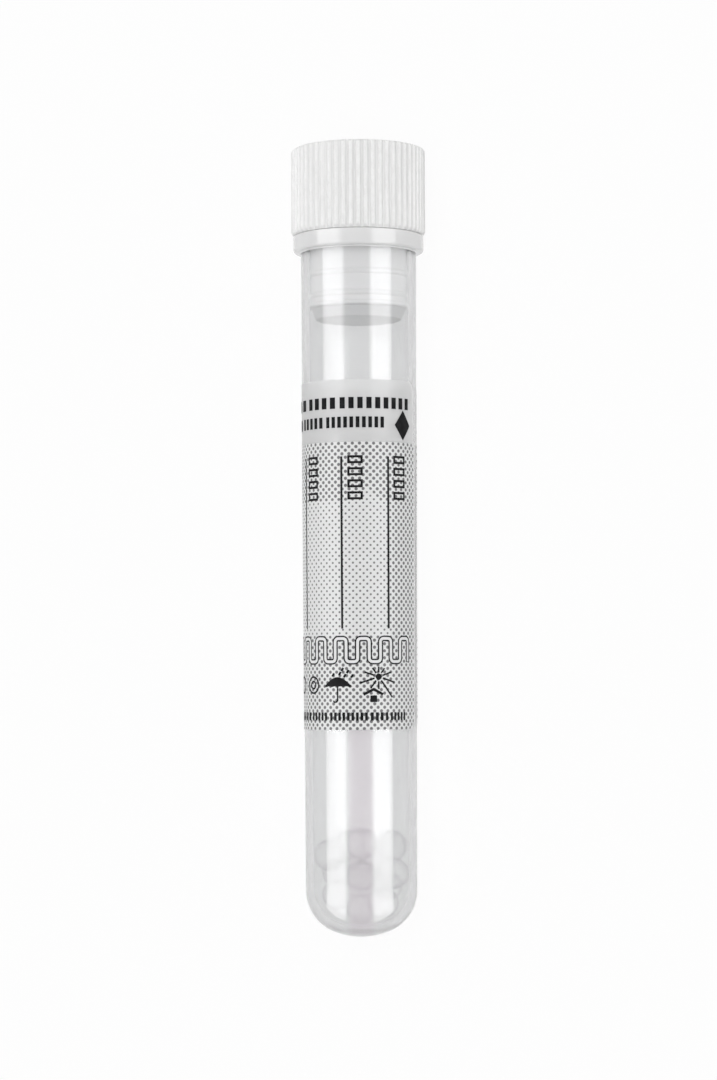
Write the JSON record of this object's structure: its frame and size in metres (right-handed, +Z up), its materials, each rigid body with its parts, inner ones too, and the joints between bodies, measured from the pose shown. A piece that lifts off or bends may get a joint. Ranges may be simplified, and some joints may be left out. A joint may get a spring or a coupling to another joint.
{
  "type": "blood collection tube",
  "caption": "Round-bottomed translucent sample tube with a collar, a ribbed push-in stopper, a wrap-round write-on label and loose plastic granules at its round end, lying as it comes to rest.",
  "frame": {"origin": "middle of the box's lower face, on the surface that the tube lies on", "axes": "+Y along the tube towards the stopper (the tube's own axis rises 1.03 degrees towards the stopper, as it rests), +Z up, +X to the right with the stopper at the far end"},
  "size_m": [0.0144, 0.0844, 0.0146],
  "materials": {
    "tube": "clear to slightly milky polypropylene, glossy moulded surface",
    "stopper": "white polyethylene, satin moulded surface",
    "label": "thin translucent film, satin, with a printed dot screen",
    "granules": "translucent white polystyrene, smooth"
  },
  "bodies": {
    "vessel": {"tube": "tube", "label": "label", "granule_01": "granules", "granule_02": "granules", "granule_03": "granules", "granule_04": "granules", "granule_05": "granules", "granule_06": "granules", "granule_07": "granules", "granule_08": "granules", "granule_09": "granules", "granule_10": "granules", "granule_11": "granules", "granule_12": "granules", "granule_13": "granules"},
    "closure": {"stopper": "stopper"}
  },
  "joints": [
    {"name": "stopper_pull", "type": "slide", "parent": "vessel", "child": "closure", "axis": [0, 0.9998, 0.018], "range_m": [0, 0.014]}
  ]
}
